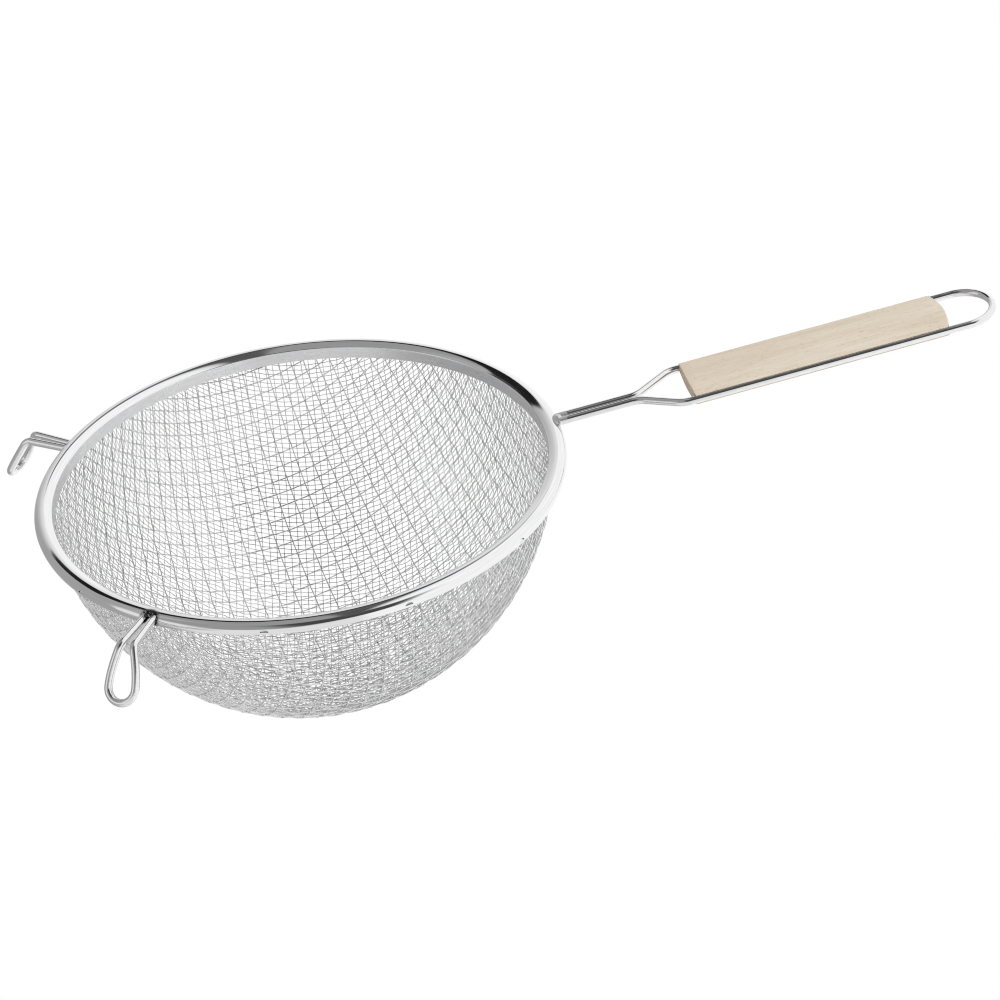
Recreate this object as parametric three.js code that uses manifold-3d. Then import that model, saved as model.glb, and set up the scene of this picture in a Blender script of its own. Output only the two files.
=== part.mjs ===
// A kitchen strainer with a double bowl of woven wire, in millimetres, +Z up.
// The origin is the centre of the bowl's mouth, level with the top of the rim.
// The bowl hangs below it, the handle leaves along +X, and two rest hooks leave near -X.

import * as THREE from 'three';
import { mergeVertices } from 'three/addons/utils/BufferGeometryUtils.js';
import Module from 'manifold-3d';

// Rim: a strip of sheet steel rolled into an open channel round the mesh edge.
const RIM_RADIUS = 130;
const RIM_WIDTH = 7.5;
const RIM_DEPTH = 7.6;
const RIM_TOP_FALL = 1.6;
const RIM_LEG_LEAN = 0.3;
const RIM_EDGE_ROUND = 0.8;
const RIM_BELLY_DROP = 4.2;
const RIM_WALL_BULGE = 0.7;
const RIM_MOUTH_RADIUS = 126;
const STRIP_THICKNESS = 0.5;
const AROUND = 60;

// Crescent slots punched in the rim's wall, as angles on both sides of the handle.
const SLOT_ANGLES = [46.4, 76.9, 107.4, 152];
const SLOT_WIDTH = 4.6;
const SLOT_HEIGHT = 1.5;
const SLOT_DROP = 4.6;
const SLOT_CUT_LENGTH = 3;

// Bowl: both meshes follow one half ellipsoid and flare a little into the rim.
const BOWL_RADIUS = 125.5;
const BOWL_HEIGHT = 130;
const BOWL_CENTRE_Z = 10.5;
const BOWL_TOP_Z = -3.5;
const FLARE_START_Z = -14;
const FLARE_AT_RIM = 0.3;
const BOWL_ROWS = 9;
const COARSE_THICKNESS = 0.8;
const FINE_THICKNESS = 0.5;
const FIT_GAP = 0.3;

// Handle: one bent wire, whose two legs run side by side, spread and clasp the wooden grip.
const WIRE_RADIUS = 1.95;
const LEG_OFFSET = 2.1;
const HANDLE_RISE = 4.3;
const HANDLE_Z = -0.3;
const HANDLE_START = 1.1;
const NECK_END = 37;
const SPREAD_ANGLE = 35;
const SPREAD_RADIUS = 12;
const GRIP_START = 66.5;
const GRIP_LENGTH = 132;
const GRIP_HALF_WIDTH = 16.3;
const GRIP_HALF_SIDE = 2.9;
const GRIP_CAMBER = 1.1;
const GRIP_EDGE_ROUND = 0.6;
const GRIP_NEAR_BULGE = 0.5;
const GRIP_FAR_BULGE = 1.6;
const GRIP_TRIM = 5;
const GROOVE_RADIUS = WIRE_RADIUS + FIT_GAP;
const WIRE_OFFSET = 16;
const LOOP_CENTRE = 208;

// Rest hooks: one bent wire each, a teardrop outline folded down over a pan's edge.
const HOOKS = {
  front_rest_hook: { azimuth: 227.8, splay: 10 },
  rear_rest_hook: { azimuth: 145.7, splay: -8 },
};
const HOOK_START_RADIUS = 131.4;
const HOOK_Z = -2;
const HOOK_LENGTH = 46.9;
const HOOK_LOOP_RADIUS = 6.9;
const HOOK_SHANK = 19;
const HOOK_SHANK_OFFSET = 3.1;
const HOOK_SHOULDER_RUN = 7;
const HOOK_SHOULDER_OFFSET = 1.8;
const HOOK_FOLD_AT = 20.8;
const HOOK_FOLD_RADIUS = 5;
const HOOK_FOLD_ANGLE = 57;

const rad = THREE.MathUtils.degToRad;
const wasm = await Module();
wasm.setup();

const steel = new THREE.MeshStandardMaterial({ color: 0xc9ccce, metalness: 1, roughness: 0.18 });
const brightWire = new THREE.MeshStandardMaterial({ color: 0xbfc2c5, metalness: 1, roughness: 0.12 });
const fineWire = new THREE.MeshStandardMaterial({ color: 0xc4c6c8, metalness: 1, roughness: 0.3 });
const coarseWire = new THREE.MeshStandardMaterial({ color: 0xd2d3d4, metalness: 1, roughness: 0.28 });
const beech = new THREE.MeshStandardMaterial({ color: 0xddd0bb, metalness: 0, roughness: 0.6 });

// --- helpers -----------------------------------------------------------------------------

function toSolid(geometry) {
  const bare = geometry.clone();
  bare.deleteAttribute('normal');
  bare.deleteAttribute('uv');
  const merged = mergeVertices(bare, 1e-4);
  return new wasm.Manifold(new wasm.Mesh({
    numProp: 3,
    vertProperties: new Float32Array(merged.attributes.position.array),
    triVerts: new Uint32Array(merged.index.array),
  }));
}

function toGeometry(solid) {
  const mesh = solid.getMesh();
  const geometry = new THREE.BufferGeometry();
  geometry.setAttribute('position', new THREE.BufferAttribute(mesh.vertProperties, 3));
  geometry.setIndex(new THREE.BufferAttribute(mesh.triVerts, 1));
  geometry.computeVertexNormals();
  return geometry;
}

// A lathe about +Z: the profile's x is the radius and its y is the height.
function turned(profile) {
  return new THREE.LatheGeometry(profile, AROUND).rotateX(rad(90));
}

// The points of a line moved sideways to its right by a distance.
function offsetLine(points, distance) {
  return points.map((point, i) => {
    const before = points[Math.max(i - 1, 0)];
    const after = points[Math.min(i + 1, points.length - 1)];
    const along = after.clone().sub(before).normalize();
    return new THREE.Vector2(point.x + along.y * distance, point.y - along.x * distance);
  });
}

function tube(route, steps) {
  const section = new THREE.Shape().absarc(0, 0, WIRE_RADIUS, 0, 2 * Math.PI, false);
  return new THREE.ExtrudeGeometry(section, { steps, curveSegments: 5, extrudePath: route });
}

// A flat outline whose first leg runs along local x, laid in space and folded down once.
class FoldedCurve extends THREE.Curve {
  constructor(outline, foldAt = Infinity, foldRadius = 1, foldAngle = 0) {
    super();
    Object.assign(this, { outline, foldAt, foldRadius, foldAngle });
  }

  getPoint(t, target = new THREE.Vector3()) {
    const flat = this.outline.getPointAt(t);
    const past = flat.x - this.foldAt;
    if (past <= 0) return target.set(flat.x, flat.y, 0);
    const turn = Math.min(past / this.foldRadius, this.foldAngle);
    const rest = past - turn * this.foldRadius;
    const x = this.foldAt + this.foldRadius * Math.sin(turn) + rest * Math.cos(turn);
    const z = -this.foldRadius * (1 - Math.cos(turn)) - rest * Math.sin(turn);
    return target.set(x, flat.y, z);
  }
}

// --- rim ---------------------------------------------------------------------------------

// The strip's cross-section: an inner leg against the mesh, a crowned top and an outer wall.
function rimSection() {
  const inner = RIM_RADIUS - RIM_WIDTH;
  const middle = RIM_RADIUS - RIM_WIDTH / 2;
  const wall = RIM_RADIUS + RIM_WALL_BULGE;
  const bottom = -RIM_DEPTH;
  const round = RIM_EDGE_ROUND;
  const skin = new THREE.Path();
  skin.moveTo(inner - RIM_LEG_LEAN, bottom);
  skin.lineTo(inner, -RIM_TOP_FALL - round);
  skin.quadraticCurveTo(inner, -RIM_TOP_FALL, inner + round, -RIM_TOP_FALL + round / 2);
  skin.quadraticCurveTo(middle, 0, RIM_RADIUS - round, 0);
  skin.quadraticCurveTo(RIM_RADIUS, 0, RIM_RADIUS + round / 4, -round);
  skin.lineTo(wall, -RIM_BELLY_DROP);
  skin.quadraticCurveTo(wall, bottom + round, RIM_MOUTH_RADIUS, bottom + round / 2);
  const outside = skin.getPoints(2);
  const inside = offsetLine(outside, STRIP_THICKNESS).reverse();
  return [...outside, ...inside, outside[0]].reverse();
}

function slotCutter(angle) {
  const arch = new THREE.Shape();
  arch.absellipse(0, 0, SLOT_WIDTH / 2, SLOT_HEIGHT, 0, Math.PI, false);
  arch.closePath();
  const cutter = new THREE.ExtrudeGeometry(arch, {
    depth: SLOT_CUT_LENGTH,
    bevelEnabled: false,
    curveSegments: 6,
  });
  const across = new THREE.Vector3(0, 1, 0);
  const up = new THREE.Vector3(0, 0, 1);
  const outward = new THREE.Vector3(1, 0, 0);
  cutter.applyMatrix4(new THREE.Matrix4().makeBasis(across, up, outward));
  cutter.translate(RIM_RADIUS - SLOT_CUT_LENGTH / 2, 0, -SLOT_DROP);
  return toSolid(cutter.rotateZ(rad(angle)));
}

function rimBand() {
  let band = toSolid(turned(rimSection()));
  for (const angle of SLOT_ANGLES) {
    band = band.subtract(slotCutter(angle)).subtract(slotCutter(-angle));
  }
  return new THREE.Mesh(toGeometry(band), steel);
}

// --- bowl --------------------------------------------------------------------------------

// One face of a mesh, a given depth inside the bowl's outer face, from the axis up to the rim.
function bowlFace(depth) {
  const radius = BOWL_RADIUS - depth;
  const height = BOWL_HEIGHT - depth;
  const top = Math.asin((BOWL_CENTRE_Z - BOWL_TOP_Z) / height);
  const face = [];
  for (let i = 0; i <= BOWL_ROWS; i++) {
    const angle = THREE.MathUtils.lerp(Math.PI / 2, top, i / BOWL_ROWS);
    const z = BOWL_CENTRE_Z - height * Math.sin(angle);
    const flare = Math.max(0, (z - FLARE_START_Z) / (-RIM_DEPTH - FLARE_START_Z));
    const r = i === 0 ? 0 : radius * Math.cos(angle) + FLARE_AT_RIM * flare ** 2;
    face.push(new THREE.Vector2(r, z));
  }
  return face;
}

function meshBowl(depth, thickness, material) {
  const profile = [...bowlFace(depth), ...bowlFace(depth + thickness).reverse()];
  return new THREE.Mesh(turned(profile), material);
}

// --- handle ------------------------------------------------------------------------------

function handleOutline() {
  const turn = rad(SPREAD_ANGLE);
  const quarter = Math.PI / 2;
  const bendRise = SPREAD_RADIUS * (1 - Math.cos(turn));
  const slope = (WIRE_OFFSET - LEG_OFFSET - 2 * bendRise) / Math.tan(turn);
  const spreadEnd = NECK_END + 2 * SPREAD_RADIUS * Math.sin(turn) + slope;
  const neckY = LEG_OFFSET + SPREAD_RADIUS;
  const gripY = WIRE_OFFSET - SPREAD_RADIUS;
  const outline = new THREE.Path();
  outline.moveTo(HANDLE_START, LEG_OFFSET);
  outline.lineTo(NECK_END, LEG_OFFSET);
  outline.absarc(NECK_END, neckY, SPREAD_RADIUS, -quarter, turn - quarter, false);
  outline.absarc(spreadEnd, gripY, SPREAD_RADIUS, quarter + turn, quarter, true);
  outline.absarc(LOOP_CENTRE, 0, WIRE_OFFSET, quarter, -quarter, true);
  outline.absarc(spreadEnd, -gripY, SPREAD_RADIUS, -quarter, -quarter - turn, true);
  outline.absarc(NECK_END, -neckY, SPREAD_RADIUS, quarter - turn, quarter, false);
  outline.lineTo(HANDLE_START, -LEG_OFFSET);
  return outline;
}

function handleWire() {
  return new THREE.Mesh(tube(new FoldedCurve(handleOutline()), 130), brightWire);
}

// Cross-section of the grip: cambered above and below, with a round groove in each side.
function gripSection() {
  const w = GRIP_HALF_WIDTH;
  const h = GRIP_HALF_SIDE;
  const c = GRIP_EDGE_ROUND;
  const mouth = Math.acos((w - WIRE_OFFSET) / GROOVE_RADIUS);
  const section = new THREE.Shape();
  section.moveTo(-w + c, -h);
  section.quadraticCurveTo(0, -h - 2 * GRIP_CAMBER, w - c, -h);
  section.quadraticCurveTo(w, -h, w, -h + c);
  section.absarc(WIRE_OFFSET, 0, GROOVE_RADIUS, -mouth, mouth - 2 * Math.PI, true);
  section.lineTo(w, h - c);
  section.quadraticCurveTo(w, h, w - c, h);
  section.quadraticCurveTo(0, h + 2 * GRIP_CAMBER, -w + c, h);
  section.quadraticCurveTo(-w, h, -w, h - c);
  section.absarc(-WIRE_OFFSET, 0, GROOVE_RADIUS, Math.PI - mouth, mouth - Math.PI, true);
  section.lineTo(-w, -h + c);
  section.quadraticCurveTo(-w, -h, -w + c, -h);
  return section;
}

// Plan of the grip: nearly square at the bowl end, gently rounded at the loop end.
function gripPlan() {
  const w = GRIP_HALF_WIDTH + 1;
  const far = GRIP_START + GRIP_LENGTH;
  const plan = new THREE.Shape();
  plan.moveTo(GRIP_START, w);
  plan.quadraticCurveTo(GRIP_START - 2 * GRIP_NEAR_BULGE, 0, GRIP_START, -w);
  plan.lineTo(far - GRIP_FAR_BULGE, -w);
  plan.quadraticCurveTo(far + GRIP_FAR_BULGE, 0, far - GRIP_FAR_BULGE, w);
  plan.closePath();
  return plan;
}

function woodGrip() {
  const bar = new THREE.ExtrudeGeometry(gripSection(), {
    depth: GRIP_LENGTH + 2 * GRIP_TRIM,
    bevelEnabled: false,
    curveSegments: 8,
  });
  const across = new THREE.Vector3(0, 1, 0);
  const up = new THREE.Vector3(0, 0, 1);
  const along = new THREE.Vector3(1, 0, 0);
  bar.applyMatrix4(new THREE.Matrix4().makeBasis(across, up, along));
  bar.translate(GRIP_START - GRIP_TRIM, 0, 0);
  const plan = new THREE.ExtrudeGeometry(gripPlan(), {
    depth: GRIP_HALF_WIDTH,
    bevelEnabled: false,
    curveSegments: 6,
  });
  plan.translate(0, 0, -GRIP_HALF_WIDTH / 2);
  return new THREE.Mesh(toGeometry(toSolid(bar).intersect(toSolid(plan))), beech);
}

// --- rest hooks --------------------------------------------------------------------------

// A teardrop: two legs leave the rim side by side and open into a round end past the fold.
function hookOutline() {
  const shoulderX = HOOK_SHANK + HOOK_SHOULDER_RUN;
  const shoulderY = HOOK_SHANK_OFFSET + HOOK_SHOULDER_OFFSET;
  const wide = HOOK_LOOP_RADIUS;
  const centre = HOOK_LENGTH - wide;
  const sideX = centre - wide;
  const quarter = Math.PI / 2;
  const outline = new THREE.Path();
  outline.moveTo(0, LEG_OFFSET);
  outline.lineTo(HOOK_SHANK, HOOK_SHANK_OFFSET);
  outline.bezierCurveTo(shoulderX, shoulderY, sideX, wide, centre, wide);
  outline.absarc(centre, 0, wide, quarter, -quarter, true);
  outline.bezierCurveTo(sideX, -wide, shoulderX, -shoulderY, HOOK_SHANK, -HOOK_SHANK_OFFSET);
  outline.lineTo(0, -LEG_OFFSET);
  return outline;
}

function restHook(splay) {
  const fold = rad(HOOK_FOLD_ANGLE);
  const foldStart = HOOK_FOLD_AT - HOOK_FOLD_RADIUS * Math.tan(fold / 2);
  const route = new FoldedCurve(hookOutline(), foldStart, HOOK_FOLD_RADIUS, fold);
  const hook = new THREE.Mesh(tube(route, 48), brightWire);
  hook.position.set(HOOK_START_RADIUS, 0, HOOK_Z);
  hook.rotation.z = rad(splay);
  return hook;
}

// --- assembly ----------------------------------------------------------------------------

const strainer = new THREE.Group();

function place(name, mesh, parent = strainer) {
  mesh.name = name;
  parent.add(mesh);
}

place('rim_band', rimBand());
place('coarse_mesh_bowl', meshBowl(0, COARSE_THICKNESS, coarseWire));
place('fine_mesh_bowl', meshBowl(COARSE_THICKNESS + FIT_GAP, FINE_THICKNESS, fineWire));

const handle = new THREE.Group();
handle.position.set(RIM_RADIUS, 0, HANDLE_Z);
handle.rotation.y = rad(-HANDLE_RISE);
strainer.add(handle);
place('handle_wire', handleWire(), handle);
place('wood_grip', woodGrip(), handle);

for (const [name, { azimuth, splay }] of Object.entries(HOOKS)) {
  const arm = new THREE.Group();
  arm.rotation.z = rad(azimuth);
  strainer.add(arm);
  place(name, restHook(splay), arm);
}

export default strainer;
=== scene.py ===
"""A kitchen strainer: a steel rim, two bowls of woven wire, a bent-wire handle and two hooks."""

import math

import bmesh
import bpy
import numpy as np
from mathutils import Matrix, Vector


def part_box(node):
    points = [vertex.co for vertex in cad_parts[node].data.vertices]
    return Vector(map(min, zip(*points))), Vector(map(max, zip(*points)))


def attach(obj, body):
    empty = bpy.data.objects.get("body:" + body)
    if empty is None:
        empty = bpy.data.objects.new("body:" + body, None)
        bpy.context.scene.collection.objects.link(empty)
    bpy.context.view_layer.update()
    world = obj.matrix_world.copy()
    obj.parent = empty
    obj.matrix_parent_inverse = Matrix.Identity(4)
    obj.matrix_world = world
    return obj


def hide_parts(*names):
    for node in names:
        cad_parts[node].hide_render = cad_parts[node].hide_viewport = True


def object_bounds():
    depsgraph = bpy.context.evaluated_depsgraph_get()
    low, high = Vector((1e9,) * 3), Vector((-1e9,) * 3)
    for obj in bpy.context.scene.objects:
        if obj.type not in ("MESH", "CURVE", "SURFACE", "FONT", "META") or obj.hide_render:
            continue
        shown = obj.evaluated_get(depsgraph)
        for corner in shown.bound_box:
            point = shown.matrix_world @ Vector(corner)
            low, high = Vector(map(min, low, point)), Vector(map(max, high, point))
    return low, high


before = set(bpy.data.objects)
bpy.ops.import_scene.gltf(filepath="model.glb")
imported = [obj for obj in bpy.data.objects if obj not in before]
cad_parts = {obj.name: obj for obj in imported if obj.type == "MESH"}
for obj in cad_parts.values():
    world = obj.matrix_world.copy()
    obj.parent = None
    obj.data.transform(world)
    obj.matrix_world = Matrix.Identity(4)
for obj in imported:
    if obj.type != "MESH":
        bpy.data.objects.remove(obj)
cad_low, cad_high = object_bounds()

MM = 0.001

# Rim: a rolled strip, an open channel round the mesh edge.
RIM_WALL_BULGE = 0.7 * MM
RIM_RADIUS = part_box("rim_band")[1].x - RIM_WALL_BULGE
RIM_WIDTH = 8.3 * MM
RIM_DEPTH = 7.6 * MM
RIM_SKIRT_DEPTH = 5.8 * MM
RIM_TOP_FALL = 1.5 * MM
RIM_LEG_LEAN = 0.3 * MM
RIM_EDGE_ROUND = 0.6 * MM
RIM_ROLL = 4.5 * MM
RIM_CURL = 0.9 * MM
RIM_BELLY_DROP = 3.3 * MM
RIM_MOUTH_RADIUS = 126 * MM
RIM_TOP_BEND = (1.5 * MM, 0.06 * MM)
RIM_TOP_STEPS = 14
RIM_ROLL_STEPS = 24
RIM_CURL_STEPS = 12
RIM_LEG_STEP = 1.3 * MM
RIM_SKIRT_STEP = 0.8 * MM
STRIP_THICKNESS = 0.5 * MM
RIM_SEGMENTS = 480

# Crescent slots punched in the rim's wall, as angles on both sides of the handle.
SLOT_ANGLES = (46.4, 76.9, 106.9, 152)
SLOT_WIDTH = 3.9 * MM
SLOT_HEIGHT = 1.5 * MM
SLOT_DROP = 3.9 * MM
SLOT_REACH = 1.5 * MM
TAB_SHRINK = 0.8
TAB_LEAN = 48

# Bowls: half ellipsoids of woven wire, whose top edges turn out a little into the rim.
BOWL_INSET = 4.5 * MM
BOWL_RADIUS = RIM_RADIUS - BOWL_INSET
BOWL_CENTRE_Z = 10.5 * MM
BOWL_HEIGHT = BOWL_CENTRE_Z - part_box("coarse_mesh_bowl")[0].z
BOWL_TOP_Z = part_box("coarse_mesh_bowl")[1].z
FLARE_START_Z = -14 * MM
FLARE_END_Z = -RIM_DEPTH
FLARE = 1.05 * MM

# Cloth: its wires' radius, the steps between them, its turn about z in degrees, the height of
# its waves in wire radii, and how many sides each wire has and samples it has in a step.
COARSE = {
    "radius": 0.31 * MM,
    "steps": (9.2 * MM, 6.6 * MM),
    "turn": 8,
    "crimp": 1.0,
    "sides": 8,
    "samples": 4,
}
FINE = {
    "radius": 0.18 * MM,
    "steps": (3.75 * MM, 2.45 * MM),
    "turn": -11,
    "crimp": 1.9,
    "sides": 6,
    "samples": 2,
}

# How deep the middle of each cloth lies under the bowl's outer face.
COARSE_DEPTH = 2 * COARSE["radius"]
FINE_DEPTH = 4 * COARSE["radius"] + (1 + FINE["crimp"]) * FINE["radius"]

# Drawing the nets: how flat the waves' tops are, how far a net goes from the pole in bowl radii,
# how finely the bowl's profile is drawn, and when a node is found, or can't be.
WAVE_SQUARENESS = 1.25
NET_REACH = 1.75
PROFILE_ANGLE = 0.6 * math.pi
PROFILE_POINTS = 4001
NEWTON_STEPS = 12
NEWTON_MISS = 1e-9
FLAT_SLOPES = 1e-12
FOLDED_SHARE = 0.3

# The most triangles in one piece of a bowl.
PIECE_TRIANGLES = 190000

# Handle: one bent wire, whose legs run side by side, spread and clasp the wooden grip.
WIRE_RADIUS = 1.95 * MM
LEG_OFFSET = 2.25 * MM
HANDLE_RISE = 4.3
HANDLE_Z = -0.3 * MM
HANDLE_START = 0
BEAD_CENTRE = (-0.2 * MM, 0, -0.1 * MM)
BEAD_SIZE = (2.7 * MM, 4.9 * MM, 2.2 * MM)
NECK_END = 37 * MM
SPREAD_ANGLE = 35
SPREAD_RADIUS = 12 * MM
WIRE_OFFSET = 16 * MM
LOOP_CENTRE = 208 * MM
GRIP_START = 66.5 * MM
GRIP_LENGTH = 132 * MM
GRIP_HALF_WIDTH = 16.3 * MM
GRIP_HALF_SIDE = 2.9 * MM
GRIP_CAMBER = 1.1 * MM
GRIP_EDGE_ROUND = 0.6 * MM
GRIP_END_ROUND = 0.7 * MM
GRIP_NEAR_BULGE = 0.5 * MM
GRIP_FAR_BULGE = 1.6 * MM
GRIP_FAR_BOW = 1.6 * GRIP_FAR_BULGE
GRIP_END_RUN = 6 * MM
GRIP_END_RINGS = 6
GRIP_RINGS = 24
GROOVE_RADIUS = WIRE_RADIUS + 0.15 * MM

# Rest hooks: a teardrop of wire, folded down over a pan's edge.
HOOKS = {
    "front_rest_hook": {"azimuth": 227.8, "splay": 7.5},
    "rear_rest_hook": {"azimuth": 145.7, "splay": -8},
}
HOOK_START_RADIUS = 131.4 * MM
HOOK_ROOT = -2 * MM
HOOK_Z = -2.1 * MM
HOOK_LENGTH = 46.9 * MM
HOOK_LOOP_RADIUS = 6.9 * MM
HOOK_SHANK = 19 * MM
HOOK_SHANK_OFFSET = 3.1 * MM
HOOK_SHOULDER_RUN = 7 * MM
HOOK_SHOULDER_OFFSET = 1.8 * MM
HOOK_FOLD_AT = 20.8 * MM
HOOK_FOLD_RADIUS = 5 * MM
HOOK_FOLD_ANGLE = 57
WIRE_SIDES = 24
WIRE_STEP = 1 * MM

# Marks on the steel: how far from a weld, the bead or the rim's inner edge each one begins,
# and how far it is at its full strength. A burnt mark's middle lies a little below the wire's.
RIM_BURN = (6.2 * MM, 4.2 * MM)
WIRE_BURN = (4.4 * MM, 3 * MM)
BEAD_DULL = (6.5 * MM, 4.5 * MM)
INNER_EDGE_DULL = (0.5 * MM, 0.1 * MM)
BURN_DROP = 0.5 * MM

# Colours.
BURNT_STEEL = (0.03, 0.027, 0.025)
# Painted shade: near-black tones for the inside of the rim's channel, where shade falls.
CHANNEL_PAINTED_SHADE = ((0.35, (0.012, 0.011, 0.01)), (0.7, (0.05, 0.047, 0.045)))
BEECH_BANDS = (
    (0.30, (0.69, 0.587, 0.462)),
    (0.52, (0.735, 0.65, 0.533)),
    (0.72, (0.775, 0.706, 0.606)),
)
BEECH_STREAK = (0.64, 0.528, 0.405)
BEECH_FLECK = (0.53, 0.39, 0.265)
BEECH_END = (0.6, 0.47, 0.34)


# --- materials -------------------------------------------------------------------------------


class Nodes:
    """Short calls that add shader nodes to one node tree."""

    def __init__(self, tree):
        self.tree = tree

    def feed(self, socket, value):
        """Link another socket to this one, or give it a plain value."""
        if isinstance(value, bpy.types.NodeSocket):
            self.tree.links.new(value, socket)
        else:
            socket.default_value = value

    def add(self, kind, inputs=None, **settings):
        node = self.tree.nodes.new("ShaderNode" + kind)
        for key, value in settings.items():
            setattr(node, key, value)
        for key, value in (inputs or {}).items():
            self.feed(node.inputs[key], value)
        return node

    def math(self, operation, *values):
        return self.add("Math", dict(enumerate(values)), operation=operation).outputs[0]

    def distance(self, first, second):
        node = self.add("VectorMath", {0: first, 1: second}, operation="DISTANCE")
        return node.outputs["Value"]

    def spread(self, value, low, high, to_low=0.0, to_high=1.0):
        """A smooth change from to_low, where value is low, to to_high, where it is high."""
        values = {0: value, 1: low, 2: high, 3: to_low, 4: to_high}
        return self.add("MapRange", values, interpolation_type="SMOOTHSTEP").outputs[0]


class Shader(Nodes):
    """A material round one Principled shader."""

    def __init__(self, name, **values):
        self.material = bpy.data.materials.new(name)
        self.material.use_nodes = True
        super().__init__(self.material.node_tree)
        self.surface = self.tree.nodes["Principled BSDF"]
        for socket, value in values.items():
            self.surface.inputs[socket.replace("_", " ")].default_value = value
        self.place = self.add("TexCoord").outputs["Object"]

    def stretched(self, scale):
        mapping = self.add("Mapping", {"Vector": self.place, "Scale": scale})
        return mapping.outputs["Vector"]

    def noise(self, vector, scale, detail=3, roughness=0.5):
        values = {"Vector": vector, "Scale": scale, "Detail": detail, "Roughness": roughness}
        return self.add("TexNoise", values).outputs["Fac"]

    def ramp(self, value, *stops):
        node = self.add("ValToRGB", {"Fac": value})
        elements = node.color_ramp.elements
        for element, (position, colour) in zip(elements, stops):
            element.position = position
            element.color = (*colour, 1)
        for position, colour in stops[len(elements):]:
            elements.new(position).color = (*colour, 1)
        return node.outputs["Color"]

    def blend(self, share, first, second):
        node = self.add("Mix", {"Factor": share}, data_type="RGBA")
        colour_sockets = [socket for socket in node.inputs if socket.type == "RGBA"]
        for socket, colour in zip(colour_sockets, (first, second)):
            linked = isinstance(colour, bpy.types.NodeSocket)
            self.feed(socket, colour if linked else (*colour, 1))
        return [socket for socket in node.outputs if socket.type == "RGBA"][0]

    def bump(self, height, strength, distance):
        values = {"Height": height, "Strength": strength, "Distance": distance}
        self.connect("Normal", self.add("Bump", values).outputs["Normal"])

    def connect(self, socket, value):
        self.tree.links.new(value, self.surface.inputs[socket])


def grey(level):
    return (level, level, level * 1.01)


def burnt(shader, weld, far, near):
    """How burnt the steel is round a weld, from 0 where it is further than far."""
    away = shader.distance(shader.place, weld)
    speckle = shader.spread(shader.noise(shader.place, 900.0, detail=4), 0.34, 0.46)
    return shader.math("MULTIPLY", shader.spread(away, far, near), speckle)


def strip_steel(burnt_weld):
    """Polished rolled strip: fine lines round the rim, and a burnt mark where a hook is welded."""
    shader = Shader("rim_steel", Metallic=1.0)
    parts = shader.add("SeparateXYZ", {"Vector": shader.place}).outputs
    angle = shader.math("ARCTAN2", parts["Y"], parts["X"])
    flat = shader.add("CombineXYZ", {"X": parts["X"], "Y": parts["Y"]}).outputs[0]
    radius = shader.add("VectorMath", {0: flat}, operation="LENGTH").outputs["Value"]
    values = {
        "X": shader.math("MULTIPLY", angle, 6.0),
        "Y": shader.math("MULTIPLY", radius, 2600.0),
        "Z": shader.math("MULTIPLY", parts["Z"], 2600.0),
    }
    around = shader.add("CombineXYZ", values).outputs[0]
    lines = shader.noise(around, 1.0, detail=5, roughness=0.65)
    smudges = shader.noise(shader.place, 60.0)
    burn = burnt(shader, burnt_weld, *RIM_BURN)
    clean = shader.ramp(lines, (0.3, grey(0.74)), (0.7, grey(0.86)))
    shader.connect("Base Color", shader.blend(burn, clean, BURNT_STEEL))
    polish = shader.math("ADD", shader.spread(lines, 0.3, 0.8, 0.03, 0.08),
                         shader.spread(smudges, 0.3, 0.8, 0.0, 0.05))
    inner = RIM_RADIUS - RIM_WIDTH
    dull = shader.spread(radius, *[inner + width for width in INNER_EDGE_DULL], 0.0, 0.22)
    dull = shader.math("MAXIMUM", dull, shader.math("MULTIPLY", burn, 0.4))
    shader.connect("Roughness", shader.math("ADD", polish, dull))
    shader.bump(lines, 0.015, 0.0001)
    return shader.material


def channel_shade_steel():
    """The strip's inner face: unpolished, with a near-black painted shade in blotches, standing in
    for the shade inside the channel.
    """
    shader = Shader("rim_inside", Metallic=0.6)
    shade_blotches = shader.noise(shader.place, 700.0, detail=4)
    shader.connect("Base Color", shader.ramp(shade_blotches, *CHANNEL_PAINTED_SHADE))
    shader.connect("Roughness", shader.spread(shade_blotches, 0.3, 0.7, 0.5, 0.75))
    shader.bump(shade_blotches, 0.2, 0.0001)
    return shader.material


def drawn_wire(burnt_weld):
    """Chromed wire: bright, with faint draw marks, dull round the bead and burnt at a weld."""
    shader = Shader("wire_steel", Metallic=1.0)
    marks = shader.noise(shader.stretched((0.15, 1.0, 1.0)), 2200.0, detail=4)
    haze = shader.noise(shader.place, 90.0)
    clean = shader.ramp(marks, (0.3, grey(0.7)), (0.7, grey(0.84)))
    burn = burnt(shader, burnt_weld, *WIRE_BURN)
    away = shader.distance(shader.place, (RIM_RADIUS, 0, HANDLE_Z))
    marks = shader.math("ADD", marks, shader.spread(away, *BEAD_DULL, 0.0, 2.0))
    shader.connect("Base Color", shader.blend(burn, clean, BURNT_STEEL))
    shader.connect("Roughness", shader.math("ADD", shader.spread(haze, 0.3, 0.7, 0.06, 0.13),
                                            shader.spread(marks, 0.4, 2.4, 0.0, 0.35)))
    shader.bump(marks, 0.04, 0.0001)
    return shader.material


def mesh_steel(name, dark, light, dull):
    """Tinned mesh wire: bright with cloudy dull places, and a grain along the wire."""
    shader = Shader(name, Metallic=1.0)
    clouds = shader.noise(shader.place, 140.0, detail=2)
    grain = shader.noise(shader.place, 3500.0, detail=3)
    tone = shader.math("ADD", shader.math("MULTIPLY", clouds, 0.6),
                       shader.math("MULTIPLY", grain, 0.4))
    shader.connect("Base Color", shader.ramp(tone, (0.35, grey(dark)), (0.65, grey(light))))
    shader.connect("Roughness", shader.spread(tone, 0.3, 0.7, dull, dull + 0.15))
    shader.bump(grain, 0.08, 0.00005)
    return shader.material


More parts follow.
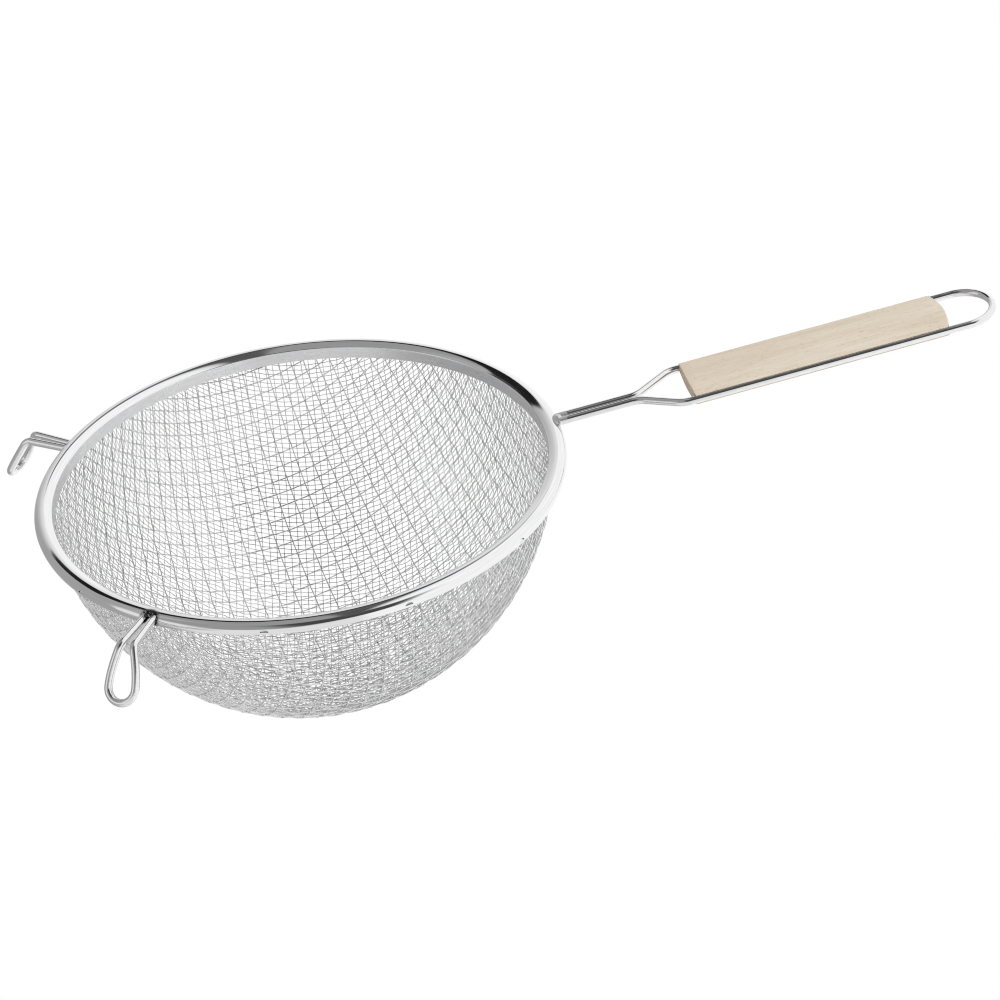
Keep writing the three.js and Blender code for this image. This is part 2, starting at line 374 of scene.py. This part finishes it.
def beech_wood():
    """Sanded beech: pale straight grain, short darker flecks, and darker end grain."""
    shader = Shader("beech", Specular_IOR_Level=0.35)
    bands = shader.noise(shader.stretched((3.0, 60.0, 60.0)), 2.2, detail=4, roughness=0.6)
    grain = shader.noise(shader.stretched((8.0, 420.0, 420.0)), 1.6, detail=5, roughness=0.6)
    flecks = shader.noise(shader.stretched((240.0, 1500.0, 1500.0)), 1.2, detail=2)
    pale = shader.ramp(bands, *BEECH_BANDS)
    streaked = shader.blend(shader.spread(grain, 0.42, 0.72, 0.0, 0.5), pale, BEECH_STREAK)
    fleck = shader.spread(flecks, 0.6, 0.7, 0.0, 0.6)
    flecked = shader.blend(fleck, streaked, BEECH_FLECK)
    facing = shader.add("SeparateXYZ", {"Vector": shader.add("NewGeometry").outputs["Normal"]})
    end = shader.spread(shader.math("ABSOLUTE", facing.outputs["X"]), 0.45, 0.9, 0.0, 0.75)
    shader.connect("Base Color", shader.blend(end, flecked, BEECH_END))
    shader.connect("Roughness", shader.spread(grain, 0.3, 0.8, 0.5, 0.68))
    height = shader.math("SUBTRACT", grain, shader.math("MULTIPLY", fleck, 1.5))
    shader.bump(height, 0.22, 0.0002)
    return shader.material


# --- mesh helpers ----------------------------------------------------------------------------


def new_object(name, vertices, faces, material, sharp_over=40):
    mesh = bpy.data.meshes.new(name)
    mesh.from_pydata(vertices, [], faces)
    mesh.shade_smooth()
    mesh.set_sharp_from_angle(angle=math.radians(sharp_over))
    mesh.materials.append(material)
    piece = bpy.data.objects.new(name, mesh)
    bpy.context.collection.objects.link(piece)
    return piece


def joined(shapes):
    """The vertices and faces of several shapes, as those of one."""
    vertices = []
    faces = []
    for shape_vertices, shape_faces in shapes:
        first = len(vertices)
        vertices.extend(np.asarray(shape_vertices).tolist())
        faces.extend([tuple(first + index for index in face) for face in shape_faces])
    return vertices, faces


def unit(vectors):
    return vectors / np.linalg.norm(vectors, axis=-1, keepdims=True)


def tube(path, ups, radius, sides):
    """A closed tube along a path, its sections turned by a direction that is across the path."""
    along = unit(np.gradient(path, axis=0))
    across = unit(np.cross(along, ups))
    outward = np.cross(across, along)
    turns = (np.arange(sides) + 0.5) * 2 * math.pi / sides
    ring = (np.cos(turns)[:, None] * outward[:, None, :]
            + np.sin(turns)[:, None] * across[:, None, :])
    vertices = (path[:, None, :] + radius * ring).reshape(-1, 3)
    start = np.arange(len(path) - 1)[:, None] * sides
    side = np.arange(sides)
    after = (side + 1) % sides
    quads = np.stack([start + side, start + after, start + after + sides, start + side + sides], -1)
    faces = quads.reshape(-1, 4).tolist()
    last = (len(path) - 1) * sides
    faces.append(list(range(sides))[::-1])
    faces.append([last + index for index in range(sides)])
    return vertices, faces


def line(start, end, step=WIRE_STEP):
    start, end = np.array(start, float), np.array(end, float)
    count = max(1, round(np.linalg.norm(end - start) / step))
    return start + (end - start) * np.linspace(0, 1, count + 1)[:, None]


def arc(centre, radius, start, end, steps=16):
    angles = np.linspace(start, end, steps + 1)
    return np.array(centre) + radius * np.stack([np.cos(angles), np.sin(angles)], 1)


def curve(start, control, end, steps=8):
    """A quadratic Bezier curve."""
    share = np.linspace(0, 1, steps + 1)[:, None]
    points = [np.array(point, float) for point in (start, control, end)]
    return ((1 - share) ** 2 * points[0] + 2 * share * (1 - share) * points[1]
            + share ** 2 * points[2])


def cubic(start, first, second, end, steps=18):
    """A cubic Bezier curve."""
    share = np.linspace(0, 1, steps + 1)[:, None]
    points = [np.array(point, float) for point in (start, first, second, end)]
    return ((1 - share) ** 3 * points[0] + 3 * share * (1 - share) ** 2 * points[1]
            + 3 * share ** 2 * (1 - share) * points[2] + share ** 3 * points[3])


def stroke(*parts):
    """Several runs of points as one, without the points that repeat where they meet."""
    points = [parts[0]]
    points.extend(part[1:] for part in parts[1:])
    return np.concatenate(points)


def mirrored(half):
    """A line that ends on the x axis, followed by its own mirror image back to the start."""
    back = half[::-1][1:] * np.array([1, -1])
    return np.concatenate([half, back])


def raised(outline):
    """A flat outline as points in space, at height 0."""
    return np.column_stack([outline, np.zeros(len(outline))])


# --- rim -------------------------------------------------------------------------------------


def rim_skin():
    """The strip's outer face: an inner leg, a top that rises to a crown, and a rolled wall."""
    inner = RIM_RADIUS - RIM_WIDTH
    wall = RIM_RADIUS + RIM_WALL_BULGE
    crown = wall - RIM_ROLL
    leg_top = (inner, -RIM_TOP_FALL - RIM_EDGE_ROUND)
    top_start = (inner + RIM_EDGE_ROUND, -RIM_TOP_FALL + RIM_EDGE_ROUND / 3)
    top_bend = (crown - RIM_TOP_BEND[0], -RIM_TOP_BEND[1])
    turns = np.linspace(0, math.pi / 2, RIM_ROLL_STEPS + 1)[:, None]
    roll = np.hstack([crown + RIM_ROLL * np.sin(turns), RIM_BELLY_DROP * (np.cos(turns) - 1)])
    skirt_foot = (wall - RIM_LEG_LEAN, -RIM_SKIRT_DEPTH)
    skirt_end = (skirt_foot[0], RIM_CURL - RIM_SKIRT_DEPTH)
    return stroke(
        line((inner - RIM_LEG_LEAN, -RIM_DEPTH), leg_top, RIM_LEG_STEP),
        curve(leg_top, (inner, -RIM_TOP_FALL), top_start),
        curve(top_start, top_bend, (crown, 0), RIM_TOP_STEPS),
        roll,
        line(roll[-1], skirt_end, RIM_SKIRT_STEP),
        curve(skirt_end, skirt_foot, (RIM_MOUTH_RADIUS, -RIM_SKIRT_DEPTH), RIM_CURL_STEPS),
    )


def offset_line(points, distance):
    """The points of a line, moved sideways to its right."""
    along = unit(np.gradient(points, axis=0))
    return points + distance * np.column_stack([along[:, 1], -along[:, 0]])


def lathe(section, segments):
    """A closed section of radius and height, turned about the z axis."""
    angles = np.arange(segments) * 2 * math.pi / segments
    radii = section[:, 0]
    heights = np.broadcast_to(section[:, 1], (segments, len(section)))
    across = np.cos(angles)[:, None] * radii
    back = np.sin(angles)[:, None] * radii
    vertices = np.stack([across, back, heights], -1).reshape(-1, 3)
    count = len(section)
    faces = []
    for turn in range(segments):
        here = turn * count
        there = (turn + 1) % segments * count
        for index in range(count):
            after = (index + 1) % count
            faces.append((here + index, here + after, there + after, there + index))
    return vertices, faces


def prism(outline, length):
    """A flat outline of y and z points, pushed along x from -length to +length."""
    count = len(outline)
    ends = [np.column_stack([np.full(count, x), outline]) for x in (-length, length)]
    faces = [tuple(range(count))[::-1], tuple(range(count, 2 * count))]
    for index in range(count):
        after = (index + 1) % count
        faces.append((index, after, count + after, count + index))
    return np.concatenate(ends), faces


def moved(shape, matrix):
    vertices, faces = shape
    turned = [matrix @ Vector(vertex) for vertex in np.asarray(vertices).tolist()]
    return np.array([tuple(vertex) for vertex in turned]), faces


def slot_arch(shrink):
    half = arc((0, 0), 1, 0, math.pi, 20)
    return half * np.array([SLOT_WIDTH / 2, SLOT_HEIGHT]) * shrink


def slot_places():
    for angle in SLOT_ANGLES:
        for side in (-1, 1):
            yield (Matrix.Rotation(math.radians(side * angle), 4, "Z")
                   @ Matrix.Translation((RIM_RADIUS + RIM_WALL_BULGE / 2, 0, -SLOT_DROP)))


def slot_tabs():
    """The tongues left by the punch, bent in from the slots' lower edges."""
    tab = prism(slot_arch(TAB_SHRINK), STRIP_THICKNESS / 2)
    lean = Matrix.Rotation(math.radians(-TAB_LEAN), 4, "Y")
    return [moved(tab, place @ lean) for place in slot_places()]


def cut(piece, cutter):
    """piece without what cutter covers, with the cutter object then removed."""
    modifier = piece.modifiers.new("cut", "BOOLEAN")
    modifier.operation = "DIFFERENCE"
    modifier.solver = "EXACT"
    modifier.object = cutter
    graph = bpy.context.evaluated_depsgraph_get()
    result = bpy.data.meshes.new_from_object(piece.evaluated_get(graph))
    piece.modifiers.clear()
    piece.data = result
    bpy.data.objects.remove(cutter)


def rim_band(material, inside_material):
    skin = rim_skin()
    section = np.concatenate([skin, offset_line(skin, STRIP_THICKNESS)[::-1]])[::-1]
    band = new_object("steel_rim", *lathe(section, RIM_SEGMENTS), material)
    band.data.materials.append(inside_material)
    row = len(section)
    # The strip's face inside the channel takes the second material, a painted shade.
    for face in band.data.polygons:
        face.material_index = int(face.index % row < len(skin))
    slots = [moved(prism(slot_arch(1), SLOT_REACH), place) for place in slot_places()]
    cut(band, new_object("slot_cutter", *joined(slots), material))
    tabs = new_object("slot_tabs", *joined(slot_tabs()), material)
    merged = bmesh.new()
    merged.from_mesh(band.data)
    merged.from_mesh(tabs.data)
    merged.to_mesh(band.data)
    merged.free()
    bpy.data.objects.remove(tabs)
    band.data.set_sharp_from_angle(angle=math.radians(35))
    return band


# --- bowls -----------------------------------------------------------------------------------


def profile(radius, height):
    """Points down one side of a half ellipsoid from its pole up, and how far along each one is."""
    angle = np.linspace(0, PROFILE_ANGLE, PROFILE_POINTS)
    points = np.stack([radius * np.sin(angle), -height * np.cos(angle)], 1)
    steps = np.hypot(*np.diff(points, axis=0).T)
    return points, np.concatenate([[0], np.cumsum(steps)])


def axis_weights(sizes):
    """What turns a point of the ellipsoid into one of a ball of radius 1."""
    return 1 / np.array([sizes[0], sizes[0], sizes[1]])


def even_net(radius, height, steps, counts):
    """One quarter of a net drawn from the pole, with every node at its own distance and bearing."""
    points, run = profile(radius, height)
    across = np.arange(counts[0] + 1)[:, None] * steps[0]
    along = np.arange(counts[1] + 1)[None, :] * steps[1]
    away = np.hypot(across, along)
    share = np.interp(away, run, points[:, 0], right=np.nan) / np.maximum(away, 1e-9)
    return np.stack([across * share, along * share, np.interp(away, run, points[:, 1])], -1)


def draped_net(radius, height, steps, counts):
    """One quarter of a net whose cells keep their side lengths, as real cloth does when pressed."""
    points, run = profile(radius, height)
    net = np.full((counts[0] + 1, counts[1] + 1, 3), np.nan)
    for i in range(counts[0] + 1):
        net[i, 0] = (np.interp(i * steps[0], run, points[:, 0]), 0,
                     np.interp(i * steps[0], run, points[:, 1]))
    for j in range(counts[1] + 1):
        net[0, j] = (0, np.interp(j * steps[1], run, points[:, 0]),
                     np.interp(j * steps[1], run, points[:, 1]))
    for i in range(1, counts[0] + 1):
        for j in range(1, counts[1] + 1):
            neighbours = (net[i - 1, j], net[i, j - 1], net[i - 1, j - 1])
            node = next_node(*neighbours, steps, (radius, height))
            if node is None:
                break
            net[i, j] = node
    return net


def next_node(before, beside, corner, steps, sizes):
    """The point of the ellipsoid that is one step from each of two nodes, by Newton's method."""
    if np.isnan(before).any() or np.isnan(beside).any():
        return None
    weights = axis_weights(sizes)
    node = before + beside - corner
    for _ in range(NEWTON_STEPS):
        rows = (node - before, node - beside, node * weights ** 2)
        misses = [rows[0] @ rows[0] - steps[0] ** 2, rows[1] @ rows[1] - steps[1] ** 2,
                  rows[2] @ node - 1]
        slopes = 2 * np.array(rows)
        if abs(np.linalg.det(slopes)) < FLAT_SLOPES:
            return None
        change = np.linalg.solve(slopes, misses)
        node = node - change
        if np.abs(change).max() < NEWTON_MISS:
            break
    else:
        return None
    folded = np.linalg.norm(node - corner) < FOLDED_SHARE * min(steps)
    return None if folded or node[2] > 0 else node


def whole_net(quarter):
    """The quarter mirrored into all four, with the pole's node in the middle."""
    half = np.concatenate([quarter[:0:-1] * np.array([-1, 1, 1]), quarter])
    return np.concatenate([half[:, :0:-1] * np.array([1, -1, 1]), half], axis=1)


def weave(net, cloth, sizes, over):
    """The wires of one direction of a woven bowl, as tubes."""
    samples = cloth["samples"]
    weights = axis_weights(sizes)
    top = BOWL_TOP_Z - BOWL_CENTRE_Z
    middle = net.shape[1] // 2
    spin = math.radians(cloth["turn"])
    turned = np.array([[math.cos(spin), -math.sin(spin), 0],
                       [math.sin(spin), math.cos(spin), 0],
                       [0, 0, 1]])
    tubes = []
    for row, nodes in enumerate(net):
        known = ~np.isnan(nodes).any(axis=1)
        if not known[middle] or nodes[middle, 2] > top:
            continue
        first = middle - np.argmin(np.append(known[middle::-1], False)) + 1
        last = middle + np.argmin(np.append(known[middle:], False)) - 1
        columns = np.arange(first, last + 1)
        place = np.arange(first + 0.5 / samples, last, 1 / samples)
        path = np.stack([np.interp(place, columns, nodes[columns, axis]) for axis in range(3)], 1)
        path /= np.linalg.norm(path * weights, axis=1, keepdims=True)
        kept = path[:, 2] <= top
        if kept.sum() < 3:
            continue
        place, path = place[kept], path[kept]
        outward = unit(path * weights ** 2)
        wave = np.clip(WAVE_SQUARENESS * np.cos(math.pi * (row + place)), -1, 1) * over
        wave *= cloth["crimp"] * cloth["radius"]
        lift = path[:, 2] + BOWL_CENTRE_Z
        flare = FLARE * np.clip((lift - FLARE_START_Z) / (FLARE_END_Z - FLARE_START_Z), 0, 1) ** 2
        aside = unit(path * np.array([1, 1, 0]) + 1e-12)
        path = path + outward * wave[:, None] + aside * flare[:, None]
        path[:, 2] += BOWL_CENTRE_Z
        tubes.append(tube(path @ turned.T, outward @ turned.T, cloth["radius"], cloth["sides"]))
    return tubes


def bowl_pieces(name, cloth, depth, make_net, material):
    """Both directions of one woven bowl, each as the fewest pieces under the triangle limit."""
    sizes = (BOWL_RADIUS - depth, BOWL_HEIGHT - depth)
    counts = [math.ceil(NET_REACH * BOWL_RADIUS / step) for step in cloth["steps"]]
    net = whole_net(make_net(*sizes, cloth["steps"], counts))
    start = (-1) ** sum(counts)
    pieces = []
    for direction, rows, over in (("warp", net, 1), ("weft", net.swapaxes(0, 1), -1)):
        tubes = weave(rows, cloth, sizes, over * start)
        triangles = sum(2 * len(faces) for _, faces in tubes)
        share = math.ceil(len(tubes) / math.ceil(triangles / PIECE_TRIANGLES))
        for part, first in enumerate(range(0, len(tubes), share), 1):
            vertices, faces = joined(tubes[first:first + share])
            pieces.append(new_object(f"{name}_{direction}_{part}", vertices, faces, material))
    return pieces


# --- wires and grip --------------------------------------------------------------------------


def handle_outline():
    """Half of the bent handle wire, from the rim to the middle of its loop."""
    turn = math.radians(SPREAD_ANGLE)
    quarter = math.pi / 2
    bend_rise = SPREAD_RADIUS * (1 - math.cos(turn))
    slope = (WIRE_OFFSET - LEG_OFFSET - 2 * bend_rise) / math.tan(turn)
    spread_end = NECK_END + 2 * SPREAD_RADIUS * math.sin(turn) + slope
    leave = arc((NECK_END, LEG_OFFSET + SPREAD_RADIUS), SPREAD_RADIUS, -quarter, turn - quarter)
    meet = arc((spread_end, WIRE_OFFSET - SPREAD_RADIUS), SPREAD_RADIUS, quarter + turn, quarter)
    loop = arc((LOOP_CENTRE, 0), WIRE_OFFSET, quarter, 0, 40)
    return stroke(
        line((HANDLE_START, LEG_OFFSET), leave[0]),
        leave,
        line(leave[-1], meet[0]),
        meet,
        line(meet[-1], loop[0], 2 * WIRE_STEP),
        loop,
    )


def hook_outline():
    """Half of a rest hook, flat: a leg from the rim that opens into a round end."""
    centre = HOOK_LENGTH - HOOK_LOOP_RADIUS
    shoulder = (HOOK_SHANK + HOOK_SHOULDER_RUN, HOOK_SHANK_OFFSET + HOOK_SHOULDER_OFFSET)
    bend = cubic((HOOK_SHANK, HOOK_SHANK_OFFSET), shoulder,
                 (centre - HOOK_LOOP_RADIUS, HOOK_LOOP_RADIUS), (centre, HOOK_LOOP_RADIUS), 30)
    return stroke(
        line((HOOK_ROOT, LEG_OFFSET), (HOOK_SHANK, HOOK_SHANK_OFFSET), WIRE_STEP / 2),
        bend,
        arc((centre, 0), HOOK_LOOP_RADIUS, math.pi / 2, 0, 20),
    )


def folded_down(points):
    """Points folded down once, round a bend across the x axis: (points, directions up)."""
    fold = math.radians(HOOK_FOLD_ANGLE)
    start = HOOK_FOLD_AT - HOOK_FOLD_RADIUS * math.tan(fold / 2)
    past = np.maximum(points[:, 0] - start, 0)
    turn = np.minimum(past / HOOK_FOLD_RADIUS, fold)
    rest = past - turn * HOOK_FOLD_RADIUS
    x = np.minimum(points[:, 0], start) + HOOK_FOLD_RADIUS * np.sin(turn) + rest * np.cos(turn)
    z = -HOOK_FOLD_RADIUS * (1 - np.cos(turn)) - rest * np.sin(turn)
    ups = np.column_stack([np.sin(turn), np.zeros(len(turn)), np.cos(turn)])
    return np.column_stack([x, points[:, 1], z]), ups


def rest_hook(name, azimuth, splay, material):
    path, ups = folded_down(mirrored(hook_outline()))
    place = (Matrix.Rotation(math.radians(azimuth), 4, "Z")
             @ Matrix.Translation((HOOK_START_RADIUS, 0, HOOK_Z))
             @ Matrix.Rotation(math.radians(splay), 4, "Z"))
    shape = moved(tube(path, ups, WIRE_RADIUS, WIRE_SIDES), place)
    return new_object(name, *shape, material, sharp_over=60)


def handle_place():
    return (Matrix.Translation((RIM_RADIUS, 0, HANDLE_Z))
            @ Matrix.Rotation(math.radians(-HANDLE_RISE), 4, "Y"))


def weld_bead():
    """The smooth bead of steel that joins the handle's two legs to the rim."""
    ball = bmesh.new()
    bmesh.ops.create_uvsphere(ball, u_segments=40, v_segments=20, radius=1)
    vertices = [tuple(vertex.co) for vertex in ball.verts]
    faces = [tuple(vertex.index for vertex in face.verts) for face in ball.faces]
    ball.free()
    place = Matrix.Translation(BEAD_CENTRE) @ Matrix.Diagonal((*BEAD_SIZE, 1))
    return moved((vertices, faces), place)


def handle_wire(material):
    path = raised(mirrored(handle_outline()))
    ups = np.tile([0.0, 0.0, 1.0], (len(path), 1))
    wire = tube(path, ups, WIRE_RADIUS, WIRE_SIDES)
    shape = moved(joined([wire, weld_bead()]), handle_place())
    return new_object("steel_handle_wire", *shape, material, sharp_over=60)


def grip_section():
    """The grip across: cambered above and below, with a round groove for the wire in each side."""
    half, side, edge = GRIP_HALF_WIDTH, GRIP_HALF_SIDE, GRIP_EDGE_ROUND
    mouth = math.acos((half - WIRE_OFFSET) / GROOVE_RADIUS)
    groove = arc((WIRE_OFFSET, 0), GROOVE_RADIUS, mouth, math.pi, 14)
    quarter = stroke(
        curve((0, side + GRIP_CAMBER), (half / 2, side + GRIP_CAMBER), (half - edge, side), 14),
        curve((half - edge, side), (half, side), (half, side - edge), 6),
        line((half, side - edge), groove[0]),
        groove,
    )
    right = stroke(quarter, quarter[::-1] * np.array([1, -1]))
    return stroke(right, right[::-1] * np.array([-1, 1]))[:-1]


def grip_ring(section, x, bulge, inset):
    """The section at one place along the grip, drawn in by inset and bowed along x."""
    along = unit(np.roll(section, -1, axis=0) - np.roll(section, 1, axis=0))
    inward = np.column_stack([along[:, 1], -along[:, 0]])
    ring = section + inward * inset
    bow = bulge * (1 - (ring[:, 0] / GRIP_HALF_WIDTH) ** 2)
    return np.column_stack([x + bow, ring])


def rounded_end(section, x, inward, bulge):
    """The rings of one rounded end of the grip, from its face at x inwards."""
    rings = []
    for turn in np.linspace(0, math.pi / 2, GRIP_END_RINGS):
        inset = GRIP_END_ROUND * (1 - math.sin(turn))
        back = GRIP_END_ROUND * (1 - math.cos(turn))
        rings.append(grip_ring(section, x + inward * back, bulge, inset))
    return rings


def wood_grip(material):
    section = grip_section()
    end = GRIP_START + GRIP_LENGTH
    rings = rounded_end(section, GRIP_START, 1, -GRIP_NEAR_BULGE)
    for x in np.linspace(GRIP_START + GRIP_END_RUN, end - GRIP_END_RUN, GRIP_RINGS):
        rings.append(grip_ring(section, x, 0, 0))
    rings.extend(rounded_end(section, end - GRIP_FAR_BULGE, -1, GRIP_FAR_BOW)[::-1])
    count = len(section)
    faces = []
    for here in range(0, (len(rings) - 1) * count, count):
        there = here + count
        for index in range(count):
            after = (index + 1) % count
            faces.append((here + index, there + index, there + after, here + after))
    faces.append(tuple(range(count)))
    faces.append(tuple(range((len(rings) - 1) * count, len(rings) * count))[::-1])
    shape = moved((np.concatenate(rings), faces), handle_place())
    return new_object("beech_grip", *shape, material, sharp_over=50)


# --- object ----------------------------------------------------------------------------------


def weld_point(hook):
    """The place on the rim where a hook is welded."""
    angle = math.radians(hook["azimuth"])
    return (RIM_RADIUS * math.cos(angle), RIM_RADIUS * math.sin(angle), HOOK_Z - BURN_DROP)


def finish_piece(piece, node):
    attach(piece, "root")
    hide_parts(node)


burnt_weld = weld_point(HOOKS["front_rest_hook"])
wire_steel = drawn_wire(burnt_weld)
rim = rim_band(strip_steel(burnt_weld), channel_shade_steel())
finish_piece(rim, "rim_band")
finish_piece(handle_wire(wire_steel), "handle_wire")
finish_piece(wood_grip(beech_wood()), "wood_grip")
for name, hook in HOOKS.items():
    piece = rest_hook("steel_" + name, hook["azimuth"], hook["splay"], wire_steel)
    finish_piece(piece, name)

coarse_steel = mesh_steel("coarse_mesh_steel", dark=0.7, light=0.88, dull=0.2)
fine_steel = mesh_steel("fine_mesh_steel", dark=0.52, light=0.72, dull=0.18)
for piece in bowl_pieces("coarse_mesh", COARSE, COARSE_DEPTH, even_net, coarse_steel):
    finish_piece(piece, "coarse_mesh_bowl")
for piece in bowl_pieces("fine_mesh", FINE, FINE_DEPTH, draped_net, fine_steel):
    finish_piece(piece, "fine_mesh_bowl")


# --- studio ----------------------------------------------------------------------------------

FLOOR_SIZE = 30
FLOOR_GAP = 0.5 * MM
LAMP_PLACE = Vector((0.4, -0.5, 1.4))
LAMP_AIM = Vector((0.26, 0, 0))
LAMP_SIZE = (1.6, 1.2)
LAMP_POWER = 12.3
CAMERA_AZIMUTH = -98.454
CAMERA_ELEVATION = 32.403
CAMERA_DISTANCE = 1.7324
CAMERA_ROLL = 7.202
CAMERA_LENS = 125.6
CAMERA_SENSOR = 36
CAMERA_REACH = 100
PIXEL_FILTER = 1.15
AIM_FROM_CENTRE = Vector((-11.83, 0, 10.96)) * MM


def studio_floor():
    """A pale floor that the camera sees as plain white, and that the steel doesn't mirror."""
    material = bpy.data.materials.new("pale_floor")
    material.use_nodes = True
    nodes = material.node_tree.nodes
    nodes.remove(nodes["Principled BSDF"])
    glow = nodes.new("ShaderNodeEmission")
    output = nodes["Material Output"]
    material.node_tree.links.new(glow.outputs["Emission"], output.inputs["Surface"])
    half = FLOOR_SIZE / 2
    corners = [(-half, -half, 0), (half, -half, 0), (half, half, 0), (-half, half, 0)]
    floor = new_object("studio_floor", corners, [(0, 1, 2, 3)], material)
    floor.location.z = cad_low.z - FLOOR_GAP
    floor.visible_glossy = False
    floor.visible_diffuse = False
    floor.visible_shadow = False


class Studio(Nodes):
    """The surroundings that the steel mirrors, as soft-edged panels.

    A panel's place is given in degrees: side is how far to the right of the object's own plane
    it is, and rise goes from 0 straight behind, over 90 overhead, to 180 at the camera's side.
    """

    def __init__(self, light):
        world = bpy.data.worlds.new("studio")
        world.use_nodes = True
        bpy.context.scene.world = world
        super().__init__(world.node_tree)
        direction = self.add("TexCoord").outputs["Generated"]
        parts = self.add("SeparateXYZ", {"Vector": direction}).outputs
        side = self.math("ARCSINE", parts["X"])
        rise = self.math("ARCTAN2", parts["Z"], parts["Y"])
        self.side = self.math("MULTIPLY", side, 180 / math.pi)
        self.rise = self.math("MULTIPLY", rise, 180 / math.pi)
        self.light = light

    def step(self, value, at, soft, low=0.0, high=1.0):
        """A change from low to high that is soft degrees wide, with at in its middle."""
        return self.spread(value, at - soft / 2, at + soft / 2, low, high)

    def panel(self, light, sides, rises, soft=3.0, rise_soft=4.0):
        share = self.step(self.side, sides[0], soft)
        for value, at, width, low, high in (
            (self.side, sides[1], soft, 1.0, 0.0),
            (self.rise, rises[0], rise_soft, 0.0, 1.0),
            (self.rise, rises[1], rise_soft, 1.0, 0.0),
        ):
            share = self.math("MULTIPLY", share, self.step(value, at, width, low, high))
        keep = self.math("MULTIPLY", self.light, self.math("SUBTRACT", 1.0, share))
        self.light = self.math("ADD", keep, self.math("MULTIPLY", share, light))

    def finish(self):
        """The camera itself sees plain white, as past the floor's edge."""
        seen = self.add("LightPath").outputs["Is Camera Ray"]
        strength = self.math("MAXIMUM", self.light, seen)
        background = self.tree.nodes["Background"]
        background.inputs["Color"].default_value = (1, 1, 1, 1)
        self.tree.links.new(strength, background.inputs["Strength"])


ALL_ROUND = (-200, 200)


def studio_light():
    studio = Studio(0.9)
    # A bright wall to the right.
    studio.panel(1.1, (11, 100), ALL_ROUND, soft=7)
    # A grey side to the left, behind and then in front.
    studio.panel(0.42, (-100, -12), (-100, 75), soft=36, rise_soft=16)
    studio.panel(0.5, (-100, -48), (-190, -100), soft=16, rise_soft=16)
    # A grey ceiling, to the left and then in the middle.
    studio.panel(0.36, (-50, -5), (75, 160), soft=16, rise_soft=16)
    studio.panel(0.36, (-20, 10), (40, 118), soft=8, rise_soft=6)
    # Black strips: overhead in front, up behind, and a narrow one overhead from back to front.
    studio.panel(0.07, (-16, 26), (100, 150), soft=14, rise_soft=12)
    studio.panel(0.015, (-24, 10.8), (34.5, 51), soft=2, rise_soft=2)
    studio.panel(0.1, (2.8, 9.4), (44, 118), soft=2)
    studio.finish()
    light = bpy.data.lights.new("wood_softbox", "AREA")
    light.shape = "RECTANGLE"
    light.size, light.size_y = LAMP_SIZE
    light.energy = LAMP_POWER
    lamp = bpy.data.objects.new("wood_softbox", light)
    bpy.context.collection.objects.link(lamp)
    lamp.location = LAMP_PLACE
    lamp.rotation_euler = (LAMP_AIM - LAMP_PLACE).to_track_quat("-Z", "Y").to_euler()
    lamp.visible_glossy = False
    lamp.visible_camera = False


def studio_camera():
    data = bpy.data.cameras.new("camera")
    data.lens = CAMERA_LENS
    data.sensor_width = CAMERA_SENSOR
    data.clip_end = CAMERA_REACH
    camera = bpy.data.objects.new("camera", data)
    bpy.context.collection.objects.link(camera)
    azimuth = math.radians(CAMERA_AZIMUTH)
    elevation = math.radians(CAMERA_ELEVATION)
    away = Vector((math.cos(elevation) * math.cos(azimuth),
                   math.cos(elevation) * math.sin(azimuth),
                   math.sin(elevation)))
    aim = (cad_low + cad_high) / 2 + AIM_FROM_CENTRE
    camera.location = aim + away * CAMERA_DISTANCE
    level = away.to_track_quat("Z", "Y")
    camera.rotation_euler = (Matrix.Rotation(math.radians(-CAMERA_ROLL), 3, away)
                             @ level.to_matrix()).to_euler()
    bpy.context.scene.camera = camera


studio_floor()
studio_light()
studio_camera()
bpy.context.scene.view_settings.view_transform = "Standard"
bpy.context.scene.cycles.filter_width = PIXEL_FILTER
